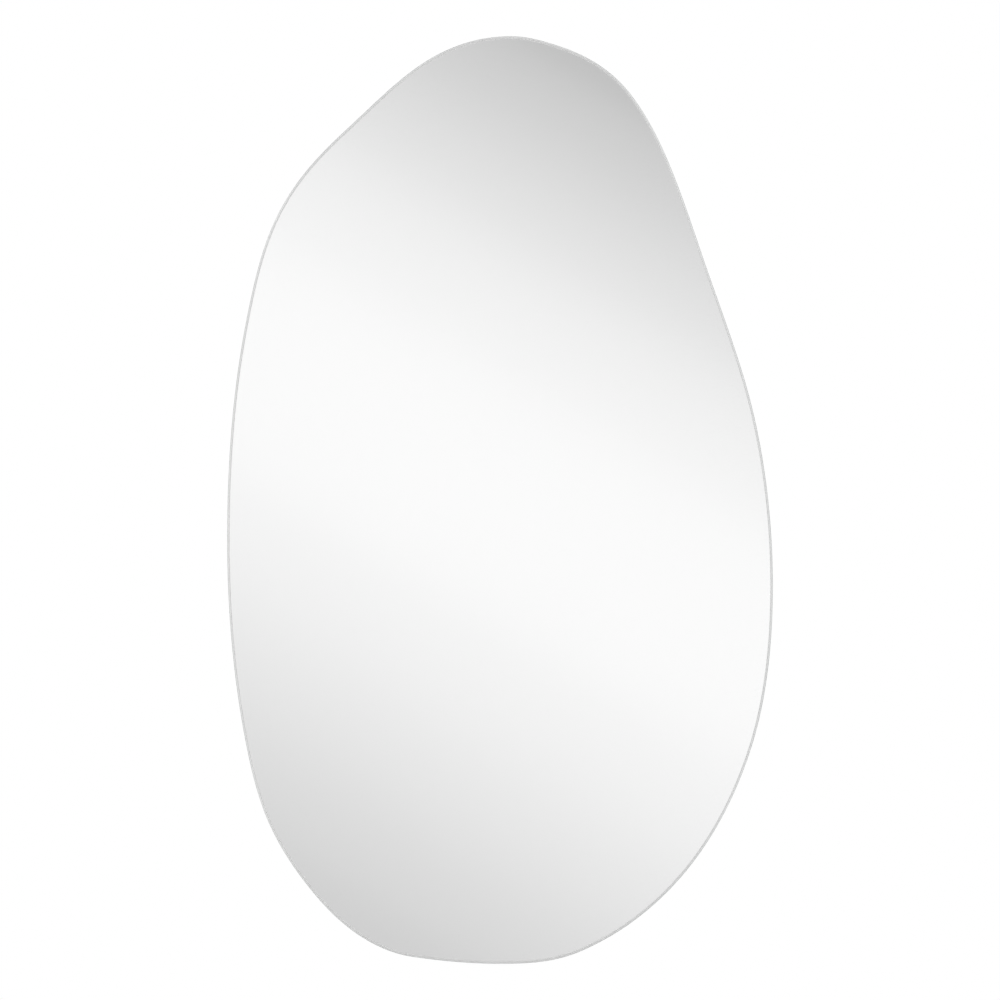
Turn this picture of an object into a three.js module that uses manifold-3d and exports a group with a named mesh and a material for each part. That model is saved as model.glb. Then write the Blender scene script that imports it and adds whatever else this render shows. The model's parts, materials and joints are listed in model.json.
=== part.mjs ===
// Frameless wall mirror with a free, pebble-like outline, as one assembly.
//
// A 5 mm float glass pane with a polished, rounded edge is silvered on its back, covered with a
// safety film and held to a smaller backing board by vertical strips of foam tape and beads of
// adhesive. Two strap hangers, each with a swinging D-ring, are screwed to the board's back, and
// four rubber bumpers hold the board off the wall so that the hangers have room.
//
// Millimetres. +Z is up, +X is to the viewer's right, and the glass faces -Y. The wall is the plane
// y = 0. The origin lies on it, midway between the two wall hooks and level with the undersides of
// the rings that bear on them.

import * as THREE from "three";
import { mergeVertices } from "three/addons/utils/BufferGeometryUtils.js";
import Module from "manifold-3d";

// ---- Driving dimensions ----

// Mirror pane, and the layers on its back
const MIRROR_WIDTH = 500;
const MIRROR_HEIGHT = 850;
const GLASS_THICKNESS = 5;
const EDGE_CROWN = 1.8; // depth of the arc ground on the edge, from the rim to the flat faces
const COATING_THICKNESS = 0.3;
const COATING_SETBACK = 0.3; // bare rim left where the glass was ground after silvering
const FILM_THICKNESS = 0.3;
const FILM_SETBACK = 3; // from the coating's edge

// Outline of the pane, counter-clockwise from its right-hand side. Each anchor has its place as
// shares of the width and the height from the middle, and the curve's heading there in degrees,
// drawn on a square. A wall bumper sits inside each of the four shoulders.
const OUTLINE = [
  { across: 0.5, up: -0.093, heading: 90 }, // widest on the right
  { across: 0.447, up: 0.132, heading: 117 },
  { across: 0.37, up: 0.265, heading: 120 }, // flat stretch under the right shoulder
  { across: 0.236, up: 0.44, heading: 144, bumper: "upper_right" },
  { across: 0.105, up: 0.49, heading: 169 },
  { across: 0.02, up: 0.5, heading: 180 }, // top
  { across: -0.141, up: 0.471, heading: 201 },
  { across: -0.255, up: 0.414, heading: 209, bumper: "upper_left" }, // flat slope of the left shoulder
  { across: -0.418, up: 0.294, heading: 234 },
  { across: -0.467, up: 0.187, heading: 252 },
  { across: -0.5, up: -0.043, heading: 270 }, // widest on the left
  { across: -0.474, up: -0.235, heading: 286 },
  { across: -0.419, up: -0.354, heading: 309 },
  { across: -0.337, up: -0.427, heading: 325, bumper: "lower_left" },
  { across: -0.16, up: -0.4925, heading: 355 }, // end of the tight bend at the foot
  { across: 0, up: -0.5, heading: 0 }, // bottom
  { across: 0.146, up: -0.487, heading: 14 },
  { across: 0.325, up: -0.411, heading: 33, bumper: "lower_right" },
  { across: 0.459, up: -0.27, heading: 61 },
];

// Backing board
const BOARD_THICKNESS = 9;
const BOARD_SETBACK = 30; // from the pane's outline
const BOARD_BEVEL = 3; // on the edge that faces the wall

// Foam tape and adhesive between the film and the board
const TAPE_THICKNESS = 1;
const TAPE_WIDTH = 19;
const BEAD_WIDTH = 10;
const GLUE_LINES = 7; // tape and adhesive by turns
const GLUE_SIDE_MARGIN = 42; // from the board's sides to the outer lines
const GLUE_END_MARGIN = 28; // from the board's edge to a line's end

// Hangers: a folded steel strap with a D-ring in its loop
const STRAP_THICKNESS = 1;
const STRAP_WIDTH = 16;
const STRAP_LENGTH = 36; // from the loop's axis to the rounded end
const FOLD_GAP = 0.2; // between the strap's two layers
const FOLD_RAMP = 45; // degrees at which the outer layer comes down off the loop
const RING_WIRE = 3; // wire diameter
const RING_PLAY = 0.3; // between the wire and the loop
const RING_SIDE_PLAY = 3; // between the ring's legs and the strap's sides
const RING_CORNER = 4; // bend radius of the wire's centre line
const RING_LEG = 2; // straight stretch between the corner and the bow

const HANGER_SPACING = 200; // between the two hooks
const HANGER_DROP = 225; // from the pane's top to the hooks

// Screws
const SCREW_SHANK = 3.5; // diameter
const SCREW_HEAD = 7; // diameter
const SCREW_HEAD_RIM = 0.6; // upright side of the head
const SCREW_HEAD_DOME = 1.6; // above the rim
const SCREW_POINT = 2.5; // length of the point
const RECESS_WIDTH = 0.9; // cross recess for the driver
const RECESS_SPAN = 4;
const RECESS_DEPTH = 1.8;
const STRAP_HOLE_PLAY = 0.35; // round the shank in the strap
const PILOT_PLAY = 0.15; // round the shank in the board
const PILOT_FLOOR = 1.2; // board left under a pilot hole
const SCREW_TIP_GAP = 0.5; // between the point and the hole's floor
const SCREW_DROPS = { upper: 10, lower: 26 }; // below the loop's axis

// Bumpers
const BUMPER_RADIUS = 10;
const BUMPER_TAPER = 1.2; // radius lost towards the wall
const BUMPER_ROUNDING = 1;
const BUMPER_SETBACK = 24; // from the board's edge to the bumper's centre
const HANGER_WALL_GAP = 1.4; // between the hangers and the wall

// Fineness
const OUTLINE_STEPS = 10; // points for each stretch between two anchors
const EDGE_STEPS = 6; // round the glass edge
const LOOP_STEPS = 12; // round the strap's loop
const ROUND_STEPS = 24; // round screws, bumpers and holes
const ROUNDING_STEPS = 3; // over a screw's dome or a bumper's rim
const RING_STEPS = 48; // along the ring
const WIRE_SIDES = 8;
const WELD = 1e-4;

// ---- Sizes that follow ----

const LOOP_RADIUS = RING_WIRE / 2 + RING_PLAY; // inside
const HANGER_DEPTH = 2 * (LOOP_RADIUS + STRAP_THICKNESS);
const STRAP_STACK = 2 * STRAP_THICKNESS + FOLD_GAP;
const BUMPER_HEIGHT = HANGER_DEPTH + HANGER_WALL_GAP;

// Planes of the stack, from the wall towards the viewer
const WALL = 0;
const BOARD_BACK = WALL - BUMPER_HEIGHT;
const BOARD_FRONT = BOARD_BACK - BOARD_THICKNESS;
const FILM_BACK = BOARD_FRONT - TAPE_THICKNESS;
const COATING_BACK = FILM_BACK - FILM_THICKNESS;
const GLASS_BACK = COATING_BACK - COATING_THICKNESS;
const GLASS_FRONT = GLASS_BACK - GLASS_THICKNESS;

// The edge's arc runs through both flats and the rim
const EDGE_HALF_TURN = 2 * Math.atan2(EDGE_CROWN, GLASS_THICKNESS / 2);
const EDGE_RADIUS = GLASS_THICKNESS / 2 / Math.sin(EDGE_HALF_TURN);
const COATING_INSET = EDGE_CROWN + COATING_SETBACK;
const FILM_INSET = COATING_INSET + FILM_SETBACK;

// The ring's centre line: a straight bar in the loop, two corners, two legs and a bow
const RING_HALF_WIDTH = STRAP_WIDTH / 2 + RING_SIDE_PLAY + RING_WIRE / 2;
const RING_BAR_HALF = RING_HALF_WIDTH - RING_CORNER;
const RING_BOW_BASE = RING_CORNER + RING_LEG;
const RING_REACH = RING_BOW_BASE + RING_HALF_WIDTH - RING_WIRE / 2; // axis to the hook

const RING_AXIS_Y = BOARD_BACK + LOOP_RADIUS + STRAP_THICKNESS;
const RING_AXIS_Z = -RING_REACH;
const STRAP_FACE = BOARD_BACK + STRAP_STACK;

const SCREW_GRIP = BOARD_THICKNESS - PILOT_FLOOR - SCREW_TIP_GAP;
const PILOT_RADIUS = SCREW_SHANK / 2 + PILOT_PLAY;
const STRAP_HOLE_RADIUS = SCREW_SHANK / 2 + STRAP_HOLE_PLAY;

// ---- Outline ----

// Handle of a Bezier end as a share of the chord. Where both ends leave the chord by the same
// angle, it gives a true arc.
function handleShare(angle) {
  return 2 / (3 * (1 + Math.cos(angle)));
}

// Angle brought into the half turn either side of zero.
function wrapped(angle) {
  return Math.atan2(Math.sin(angle), Math.cos(angle));
}

function bezierBetween(start, end) {
  const from = new THREE.Vector2(start.across, start.up);
  const to = new THREE.Vector2(end.across, end.up);
  const chord = to.clone().sub(from);
  const handle = (degrees) => {
    const heading = THREE.MathUtils.degToRad(degrees);
    const length = chord.length() * handleShare(wrapped(heading - chord.angle()));
    return new THREE.Vector2(Math.cos(heading), Math.sin(heading)).multiplyScalar(length);
  };
  const controls = [
    from,
    from.clone().add(handle(start.heading)),
    to.clone().sub(handle(end.heading)),
    to,
  ];
  const size = new THREE.Vector2(MIRROR_WIDTH, MIRROR_HEIGHT);
  return new THREE.CubicBezierCurve(...controls.map((point) => point.multiply(size)));
}

// Points of the pane's outline about the middle of its box, each with its outward direction.
function sampleOutline() {
  const samples = [];
  OUTLINE.forEach((anchor, index) => {
    const curve = bezierBetween(anchor, OUTLINE[(index + 1) % OUTLINE.length]);
    for (let step = 0; step < OUTLINE_STEPS; step++) {
      const t = step / OUTLINE_STEPS;
      const along = curve.getTangent(t);
      samples.push({ point: curve.getPoint(t), outward: new THREE.Vector2(along.y, -along.x) });
    }
  });
  return samples;
}

function centroidOf(points) {
  const centre = new THREE.Vector2();
  points.forEach((point, index) => {
    const next = points[(index + 1) % points.length];
    centre.addScaledVector(point.clone().add(next), point.cross(next) / 6);
  });
  return centre.divideScalar(THREE.ShapeUtils.area(points));
}

// The hooks are level, and the pane's centre of area hangs midway between them.
const outlineSamples = sampleOutline();
const centroid = centroidOf(outlineSamples.map((sample) => sample.point));
const MIDDLE = new THREE.Vector2(-centroid.x, HANGER_DROP - MIRROR_HEIGHT / 2);

// The outline moved inwards by a set distance, as points (x, z).
function outlineAt(inset) {
  return outlineSamples.map(({ point, outward }) =>
    point.clone().addScaledVector(outward, -inset).add(MIDDLE),
  );
}

// Lowest and highest crossing of an upright line with an outline.
function spanAt(x, points) {
  const heights = [];
  points.forEach((point, index) => {
    const next = points[(index + 1) % points.length];
    if ((point.x - x) * (next.x - x) <= 0 && point.x !== next.x) {
      const share = (x - point.x) / (next.x - point.x);
      heights.push(point.y + share * (next.y - point.y));
    }
  });
  return [Math.min(...heights), Math.max(...heights)];
}

// ---- Solids ----

// A closed solid through rings of points (x, z), each at its y, from the wall side to the front.
function solidThrough(rings) {
  const count = rings[0].points.length;
  const positions = rings.flatMap(({ y, points }) => points.flatMap((p) => [p.x, y, p.y]));
  const indices = [];
  for (let ring = 0; ring + 1 < rings.length; ring++) {
    for (let i = 0; i < count; i++) {
      const [a, b] = [ring * count + i, ring * count + ((i + 1) % count)];
      const [c, d] = [b + count, a + count];
      indices.push(a, b, c, a, c, d);
    }
  }
  const last = rings.length - 1;
  for (const [a, b, c] of THREE.ShapeUtils.triangulateShape(rings[0].points, [])) {
    indices.push(c, b, a);
  }
  for (const [a, b, c] of THREE.ShapeUtils.triangulateShape(rings[last].points, [])) {
    indices.push(last * count + a, last * count + b, last * count + c);
  }
  const geometry = new THREE.BufferGeometry();
  geometry.setAttribute("position", new THREE.Float32BufferAttribute(positions, 3));
  geometry.setIndex(indices);
  geometry.computeVertexNormals();
  return geometry;
}

function slab(points, back, front) {
  return solidThrough([
    { y: back, points },
    { y: front, points },
  ]);
}

const wasm = await Module();
wasm.setup();

function toManifold(geometry) {
  const bare = geometry.clone();
  bare.deleteAttribute("normal");
  bare.deleteAttribute("uv");
  const merged = mergeVertices(bare, WELD);
  return new wasm.Manifold(
    new wasm.Mesh({
      numProp: 3,
      vertProperties: merged.attributes.position.array,
      triVerts: new Uint32Array(merged.index.array),
    }),
  );
}

function toGeometry(solid) {
  const mesh = solid.getMesh();
  const geometry = new THREE.BufferGeometry();
  geometry.setAttribute("position", new THREE.Float32BufferAttribute(mesh.vertProperties, 3));
  geometry.setIndex([...mesh.triVerts]);
  geometry.computeVertexNormals();
  return geometry;
}

function cut(geometry, tools) {
  const solid = tools.reduce((rest, tool) => rest.subtract(toManifold(tool)), toManifold(geometry));
  return toGeometry(solid);
}

// A round plug square to the wall, for cutting holes.
function plug(x, z, radius, from, to) {
  const geometry = new THREE.CylinderGeometry(radius, radius, to - from, ROUND_STEPS);
  return geometry.translate(x, (from + to) / 2, z);
}

// ---- Pane and its layers ----

function glassPane() {
  const rings = [];
  for (let step = 0; step <= EDGE_STEPS; step++) {
    const turn = THREE.MathUtils.lerp(EDGE_HALF_TURN, -EDGE_HALF_TURN, step / EDGE_STEPS);
    rings.push({
      y: (GLASS_BACK + GLASS_FRONT) / 2 + EDGE_RADIUS * Math.sin(turn),
      points: outlineAt(EDGE_RADIUS * (1 - Math.cos(turn))),
    });
  }
  return solidThrough(rings);
}

function silverCoating() {
  return slab(outlineAt(COATING_INSET), COATING_BACK, GLASS_BACK);
}

function safetyFilm() {
  return slab(outlineAt(FILM_INSET), FILM_BACK, COATING_BACK);
}

// ---- Backing board ----

function backingBoard() {
  const blank = solidThrough([
    { y: BOARD_BACK, points: outlineAt(BOARD_SETBACK + BOARD_BEVEL) },
    { y: BOARD_BACK - BOARD_BEVEL, points: outlineAt(BOARD_SETBACK) },
    { y: BOARD_FRONT, points: outlineAt(BOARD_SETBACK) },
  ]);
  const floor = BOARD_FRONT + PILOT_FLOOR;
  const pilots = SCREW_PLACES.map(({ x, z }) => plug(x, z, PILOT_RADIUS, floor, WALL));
  return cut(blank, pilots);
}

// ---- Tape and adhesive ----

// Upright lines spread evenly across the board, tape and adhesive by turns.
function glueLines() {
  const edge = outlineAt(BOARD_SETBACK);
  const box = new THREE.Box2().setFromPoints(edge);
  const first = box.min.x + GLUE_SIDE_MARGIN;
  const pitch = (box.max.x - GLUE_SIDE_MARGIN - first) / (GLUE_LINES - 1);
  return Array.from({ length: GLUE_LINES }, (_, index) => {
    const isTape = index % 2 === 0;
    const half = (isTape ? TAPE_WIDTH : BEAD_WIDTH) / 2;
    const x = first + index * pitch;
    const spans = [x - half, x + half].map((side) => spanAt(side, edge));
    const low = Math.max(...spans.map(([bottom]) => bottom)) + GLUE_END_MARGIN;
    const high = Math.min(...spans.map(([, top]) => top)) - GLUE_END_MARGIN;
    return { isTape, x, half, low, high };
  });
}

function tapeStrip({ x, half, low, high }) {
  const corners = [
    [x - half, low],
    [x + half, low],
    [x + half, high],
    [x - half, high],
  ];
  const points = corners.map(([across, up]) => new THREE.Vector2(across, up));
  return slab(points, BOARD_FRONT, FILM_BACK);
}

function adhesiveBead({ x, half, low, high }) {
  const outline = new THREE.Shape();
  outline.absarc(x, low + half, half, Math.PI, 2 * Math.PI, false);
  outline.absarc(x, high - half, half, 0, Math.PI, false);
  return slab(outline.extractPoints(LOOP_STEPS).shape.slice(0, -1), BOARD_FRONT, FILM_BACK);
}

// ---- Hangers ----

const HANGERS = { left: -HANGER_SPACING / 2, right: HANGER_SPACING / 2 };
const SCREW_PLACES = Object.entries(HANGERS).flatMap(([side, x]) =>
  Object.entries(SCREW_DROPS).map(([level, drop]) => ({
    name: `hanger_screw_${side}_${level}`,
    x,
    z: RING_AXIS_Z - drop,
  })),
);

// Section of the folded strap, square to the loop's axis: y towards the wall, then z. One layer
// lies on the board, runs round the ring's bar and comes back down over itself.
function foldedSection() {
  const outer = LOOP_RADIUS + STRAP_THICKNESS;
  const ramp = THREE.MathUtils.degToRad(FOLD_RAMP);
  const innerLayer = -LOOP_RADIUS + FOLD_GAP;
  const outerLayer = innerLayer + STRAP_THICKNESS;
  const rampEnd = (radius, layer) =>
    -radius * Math.sin(ramp) - (radius * Math.cos(ramp) - layer) / Math.tan(ramp);

  const section = new THREE.Shape();
  section.moveTo(-outer, -STRAP_LENGTH);
  section.absarc(0, 0, outer, Math.PI, -ramp, true);
  section.lineTo(outerLayer, rampEnd(outer, outerLayer));
  section.lineTo(outerLayer, -STRAP_LENGTH);
  section.lineTo(innerLayer, -STRAP_LENGTH);
  section.lineTo(innerLayer, rampEnd(LOOP_RADIUS, innerLayer));
  section.absarc(0, 0, LOOP_RADIUS, -ramp, Math.PI, false);
  section.lineTo(-LOOP_RADIUS, -STRAP_LENGTH);
  return section;
}

// Front view of the strap about its own axis, with its lower end rounded and its top past the loop.
function strapOutline() {
  const half = STRAP_WIDTH / 2;
  const outline = new THREE.Shape();
  outline.absarc(0, half - STRAP_LENGTH, half, Math.PI, 2 * Math.PI, false);
  outline.lineTo(half, HANGER_DEPTH);
  outline.lineTo(-half, HANGER_DEPTH);
  return outline.extractPoints(LOOP_STEPS).shape;
}

function hangerStrap(x) {
  const folded = new THREE.ExtrudeGeometry(foldedSection(), {
    depth: STRAP_WIDTH,
    bevelEnabled: false,
    curveSegments: LOOP_STEPS,
  });
  const acrossX = new THREE.Matrix4().makeBasis(
    new THREE.Vector3(0, 1, 0),
    new THREE.Vector3(0, 0, 1),
    new THREE.Vector3(1, 0, 0),
  );
  folded.applyMatrix4(acrossX);
  folded.translate(x - STRAP_WIDTH / 2, RING_AXIS_Y, RING_AXIS_Z);

  const place = new THREE.Vector2(x, RING_AXIS_Z);
  const outline = strapOutline().map((point) => point.add(place));
  const trimmed = toManifold(folded).intersect(toManifold(slab(outline, WALL, BOARD_FRONT)));
  const holes = SCREW_PLACES.filter((screw) => screw.x === x).map(({ z }) =>
    plug(x, z, STRAP_HOLE_RADIUS, BOARD_FRONT, WALL),
  );
  return toGeometry(holes.reduce((rest, hole) => rest.subtract(toManifold(hole)), trimmed));
}

// A closed D of wire, standing up from the strap's loop as it does on its wall hook.
function hangerRing(x) {
  const line = new THREE.Path();
  line.moveTo(0, 0);
  line.lineTo(RING_BAR_HALF, 0);
  line.absarc(RING_BAR_HALF, RING_CORNER, RING_CORNER, -Math.PI / 2, 0, false);
  line.absarc(0, RING_BOW_BASE, RING_HALF_WIDTH, 0, Math.PI, false);
  line.absarc(-RING_BAR_HALF, RING_CORNER, RING_CORNER, Math.PI, 1.5 * Math.PI, false);
  line.lineTo(0, 0);
  const points = line.getSpacedPoints(RING_STEPS).slice(0, -1);
  const centreLine = new THREE.CatmullRomCurve3(
    points.map((point) => new THREE.Vector3(x + point.x, RING_AXIS_Y, RING_AXIS_Z + point.y)),
    true,
    "centripetal",
  );
  return new THREE.TubeGeometry(centreLine, RING_STEPS, RING_WIRE / 2, WIRE_SIDES, true);
}

// Points of a quarter round in a lathe profile, from its side to its crown.
function quarterRound(radius, base, reach, rise) {
  return Array.from({ length: ROUNDING_STEPS + 1 }, (_, step) => {
    const turn = (Math.PI / 2) * (step / ROUNDING_STEPS);
    return [radius - reach * (1 - Math.cos(turn)), base + rise * Math.sin(turn)];
  });
}

function turned(profile, { x, z }) {
  const points = profile.map(([radius, y]) => new THREE.Vector2(radius, y));
  return new THREE.LatheGeometry(points, ROUND_STEPS).translate(x, 0, z);
}

function hangerScrew({ x, z }) {
  const head = SCREW_HEAD / 2;
  const shank = SCREW_SHANK / 2;
  const tip = BOARD_BACK - SCREW_GRIP;
  const rim = STRAP_FACE + SCREW_HEAD_RIM;
  const blank = turned(
    [
      [0, tip],
      [shank, tip + SCREW_POINT],
      [shank, STRAP_FACE],
      [head, STRAP_FACE],
      ...quarterRound(head, rim, head, SCREW_HEAD_DOME),
    ],
    { x, z },
  );
  const arms = [
    [RECESS_SPAN, RECESS_WIDTH],
    [RECESS_WIDTH, RECESS_SPAN],
  ];
  const recess = arms.map(([across, up]) =>
    new THREE.BoxGeometry(across, 2 * RECESS_DEPTH, up).translate(x, rim + SCREW_HEAD_DOME, z),
  );
  return cut(blank, recess);
}

// ---- Bumpers ----

// A tapered rubber disc with a rounded rim, stuck to the board and flat against the wall.
function wallBumper(place) {
  const wallRadius = BUMPER_RADIUS - BUMPER_TAPER;
  return turned(
    [
      [0, BOARD_BACK],
      [BUMPER_RADIUS, BOARD_BACK],
      ...quarterRound(wallRadius, WALL - BUMPER_ROUNDING, BUMPER_ROUNDING, BUMPER_ROUNDING),
      [0, WALL],
    ],
    place,
  );
}

function bumperPlaces() {
  const line = outlineAt(BOARD_SETBACK + BUMPER_SETBACK);
  return OUTLINE.flatMap(({ bumper }, index) => {
    const point = line[index * OUTLINE_STEPS];
    return bumper ? [{ name: `wall_bumper_${bumper}`, x: point.x, z: point.y }] : [];
  });
}

// ---- Assembly ----

const MATERIALS = {
  glass: { color: 0xe9eeec, roughness: 0.03, metalness: 0 },
  silver: { color: 0xf2f4f4, roughness: 0.02, metalness: 1 },
  film: { color: 0xc9ced0, roughness: 0.55, metalness: 0 },
  board: { color: 0x2b2a29, roughness: 0.75, metalness: 0 },
  tape: { color: 0xe4e4e0, roughness: 0.8, metalness: 0 },
  adhesive: { color: 0xd6d3c8, roughness: 0.4, metalness: 0 },
  steel: { color: 0xb8bcc0, roughness: 0.35, metalness: 1 },
  rubber: { color: 0x232323, roughness: 0.85, metalness: 0 },
};

const mirror = new THREE.Group();

function addPiece(name, finish, geometry) {
  const mesh = new THREE.Mesh(geometry, new THREE.MeshStandardMaterial(MATERIALS[finish]));
  mesh.name = name;
  mirror.add(mesh);
}

addPiece("glass_pane", "glass", glassPane());
addPiece("silver_coating", "silver", silverCoating());
addPiece("safety_film", "film", safetyFilm());
addPiece("backing_board", "board", backingBoard());

glueLines().forEach((line, index) => {
  const number = Math.floor(index / 2) + 1;
  if (line.isTape) addPiece(`mounting_tape_${number}`, "tape", tapeStrip(line));
  else addPiece(`adhesive_bead_${number}`, "adhesive", adhesiveBead(line));
});

for (const [side, x] of Object.entries(HANGERS)) {
  addPiece(`hanger_strap_${side}`, "steel", hangerStrap(x));
  addPiece(`hanger_ring_${side}`, "steel", hangerRing(x));
}
for (const screw of SCREW_PLACES) addPiece(screw.name, "steel", hangerScrew(screw));

for (const place of bumperPlaces()) addPiece(place.name, "rubber", wallBumper(place));

export default mirror;
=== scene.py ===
# %% [markdown]
# # A frameless mirror with a pebble outline
# This lesson dresses a imported CAD model in Blender. The CAD model gives every piece its place, in
# metres: +Z is up, +X is the viewer's right, the glass faces -Y and the wall is the plane y = 0.
# We load it first and treat it as a fixed frame, so nothing has to be fitted by eye.

# %% Load the imported model
import json
import math

import bmesh
import bpy
from mathutils import Matrix, Vector
from mathutils.geometry import interpolate_bezier


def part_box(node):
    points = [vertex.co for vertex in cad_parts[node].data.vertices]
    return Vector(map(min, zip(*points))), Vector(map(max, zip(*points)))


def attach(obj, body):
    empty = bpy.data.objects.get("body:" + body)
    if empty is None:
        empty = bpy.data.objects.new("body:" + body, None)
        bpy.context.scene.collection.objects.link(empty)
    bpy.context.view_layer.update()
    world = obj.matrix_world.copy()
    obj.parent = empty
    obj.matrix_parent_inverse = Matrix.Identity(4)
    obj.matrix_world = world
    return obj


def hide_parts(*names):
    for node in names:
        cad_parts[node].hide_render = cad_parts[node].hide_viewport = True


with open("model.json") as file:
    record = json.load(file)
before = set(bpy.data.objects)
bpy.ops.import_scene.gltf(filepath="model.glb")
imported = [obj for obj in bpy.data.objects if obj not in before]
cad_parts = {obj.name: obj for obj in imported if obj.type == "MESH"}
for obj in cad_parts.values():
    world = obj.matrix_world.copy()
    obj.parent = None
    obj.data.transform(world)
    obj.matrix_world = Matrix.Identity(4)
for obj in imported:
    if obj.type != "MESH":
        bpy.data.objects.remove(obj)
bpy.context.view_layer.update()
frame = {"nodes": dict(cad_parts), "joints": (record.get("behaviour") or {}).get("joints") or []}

MM = 0.001
scene = bpy.context.scene

# %% [markdown]
# ## The camera
# The photograph looks straight at the mirror from the middle of its height, so no side of it is
# seen. An 85 mm lens, as for a product picture, stands about two metres away. Its distance follows
# from the width that the picture covers: the share of the frame that the mirror fills was measured
# on the photograph, and the mirror's real width comes from the frame we loaded.

# %% Place the camera
PANE_LOW, PANE_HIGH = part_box("glass_pane")
PANE_MIDDLE = (PANE_LOW + PANE_HIGH) / 2
SHARE_OF_FRAME = 0.5456  # the pane's width as a share of the picture's width
LENS, SENSOR = 85, 36  # mm

picture_width = (PANE_HIGH.x - PANE_LOW.x) / SHARE_OF_FRAME
camera_distance = picture_width * LENS / SENSOR
camera = bpy.data.objects.new("camera", bpy.data.cameras.new("camera"))
camera.data.lens = LENS
camera.data.sensor_width = SENSOR
camera.location = PANE_MIDDLE - Vector((0, camera_distance, 0))
camera.rotation_euler = (math.radians(90), 0, 0)
scene.collection.objects.link(camera)
scene.camera = camera
scene.view_settings.view_transform = "Standard"
print(f"picture {picture_width:.4f} m wide, camera {camera_distance:.3f} m from the glass")

# %% [markdown]
# ## Node helpers
# A finish is a small graph of shader nodes. Adding nodes by hand is wordy, so one little class
# keeps the graph. `add` makes a node and fills its sockets, and `join` wires one socket to another.
# The other verbs are the nodes that every finish needs: a sum, a change of range and two mixes.

# %% A class for writing node graphs
class Graph:
    def __init__(self, tree):
        self.tree = tree
        tree.nodes.clear()

    def add(self, kind, *, fill=None, **settings):
        """A node of that kind. fill sets or wires its inputs, by name or by number."""
        node = self.tree.nodes.new(kind)
        for name, value in settings.items():
            setattr(node, name, value)
        for socket, value in (fill or {}).items():
            if isinstance(value, bpy.types.NodeSocket):
                self.join(value, node.inputs[socket])
            else:
                node.inputs[socket].default_value = value
        return node

    def join(self, output, to):
        self.tree.links.new(output, to)

    def math(self, operation, first, second=0.0):
        """One sum on two numbers or sockets; gives its output."""
        return self.add("ShaderNodeMath", operation=operation, fill={0: first, 1: second}).outputs[0]

    def ranged(self, value, low, high, to_low=0.0, to_high=1.0, smooth=False):
        """A value spread from one range onto another, held at both ends."""
        kind = "SMOOTHSTEP" if smooth else "LINEAR"
        fill = {"Value": value, "From Min": low, "From Max": high, "To Min": to_low, "To Max": to_high}
        return self.add("ShaderNodeMapRange", interpolation_type=kind, fill=fill).outputs[0]

    def blend(self, share, first, second):
        """Two numbers mixed by a share."""
        fill = {0: share, 2: first, 3: second}
        return self.add("ShaderNodeMix", data_type="FLOAT", fill=fill).outputs[0]

    def tint(self, share, first, second):
        """Two colours mixed by a share."""
        fill = {0: share, 6: first, 7: second}
        return self.add("ShaderNodeMix", data_type="RGBA", fill=fill).outputs[2]


def grey(level):
    return (level, level, level, 1.0)


print("graph helper ready")

# %% [markdown]
# ## The studio, as the mirror sees it
# A mirror has hardly any look of its own: it shows the room. In the photograph that room is a soft
# studio, with one broad pale band that runs across the glass from the upper left to the lower
# right, and grey on both sides of it. So the world is painted by direction. `across` says how far
# a direction leans across that band, and a Float Curve turns it into a tone. More soft bands follow
# on either side, outside what this camera sees, so that the glass still reads as a mirror from
# other angles.

# %% World: what glass and metal see
world = bpy.data.worlds.new("studio")
scene.world = world
world.use_nodes = True
studio = Graph(world.node_tree)

BAND_AXIS = (-0.5, 0.0, -0.866)  # square to the pale band
BRIGHTEST = 1.2  # the curve's full height
STUDIO_TONES = [
    (-1.0, 0.78), (-0.80, 0.98), (-0.60, 0.62), (-0.43, 0.92), (-0.29, 0.52),
    (-0.20, 0.52), (-0.16, 0.63), (-0.11, 0.80), (-0.06, 0.94), (0.0, 1.0),
    (0.06, 0.94), (0.11, 0.84), (0.16, 0.715), (0.21, 0.625), (0.30, 0.61),
    (0.46, 0.95), (0.62, 0.64), (0.82, 0.94), (1.0, 0.78),
]

direction = studio.add("ShaderNodeTexCoord").outputs["Generated"]
axes = studio.add("ShaderNodeSeparateXYZ", fill={0: direction})
across = studio.add("ShaderNodeVectorMath", operation="DOT_PRODUCT", fill={0: direction, 1: BAND_AXIS})
place_on_curve = studio.ranged(across.outputs["Value"], -1, 1)
tone_curve = studio.add("ShaderNodeFloatCurve", fill={"Value": place_on_curve})
tone_curve.mapping.use_clip = False
points = tone_curve.mapping.curves[0].points
while len(points) < len(STUDIO_TONES):
    points.new(0.5, 0.5)
for point, (lean, tone) in zip(points, STUDIO_TONES):
    point.location = ((lean + 1) / 2, tone / BRIGHTEST)
tone_curve.mapping.update()
bands = studio.math("MULTIPLY", tone_curve.outputs[0], BRIGHTEST)
print("studio tones", len(tone_curve.mapping.curves[0].points))

# %% [markdown]
# Behind the mirror, on the wall's side, two things look at the studio. Light that passes straight
# through the clear edge of the glass finds an even light grey there, which gives the edge its one
# tone all round. The metal of the hangers needs more contrast to look like metal, so what it
# reflects are the same bands, spread from dark to bright.

# %% World: what lies behind the mirror
BACKDROP_GREY = 0.76
TONES = (0.5, 1.0)  # the bands run from about the first to the second
METAL_TONES = (0.16, 1.15)  # and are spread over this much for metal
WALL_SIDE = (-0.35, 0.1)  # the lean towards the wall over which the backdrop fades in
behind = studio.ranged(axes.outputs["Y"], *WALL_SIDE, smooth=True)
contrasty = studio.ranged(bands, *TONES, *METAL_TONES)
for_glass = studio.blend(behind, bands, BACKDROP_GREY)
for_metal = studio.blend(behind, bands, contrasty)

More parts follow.
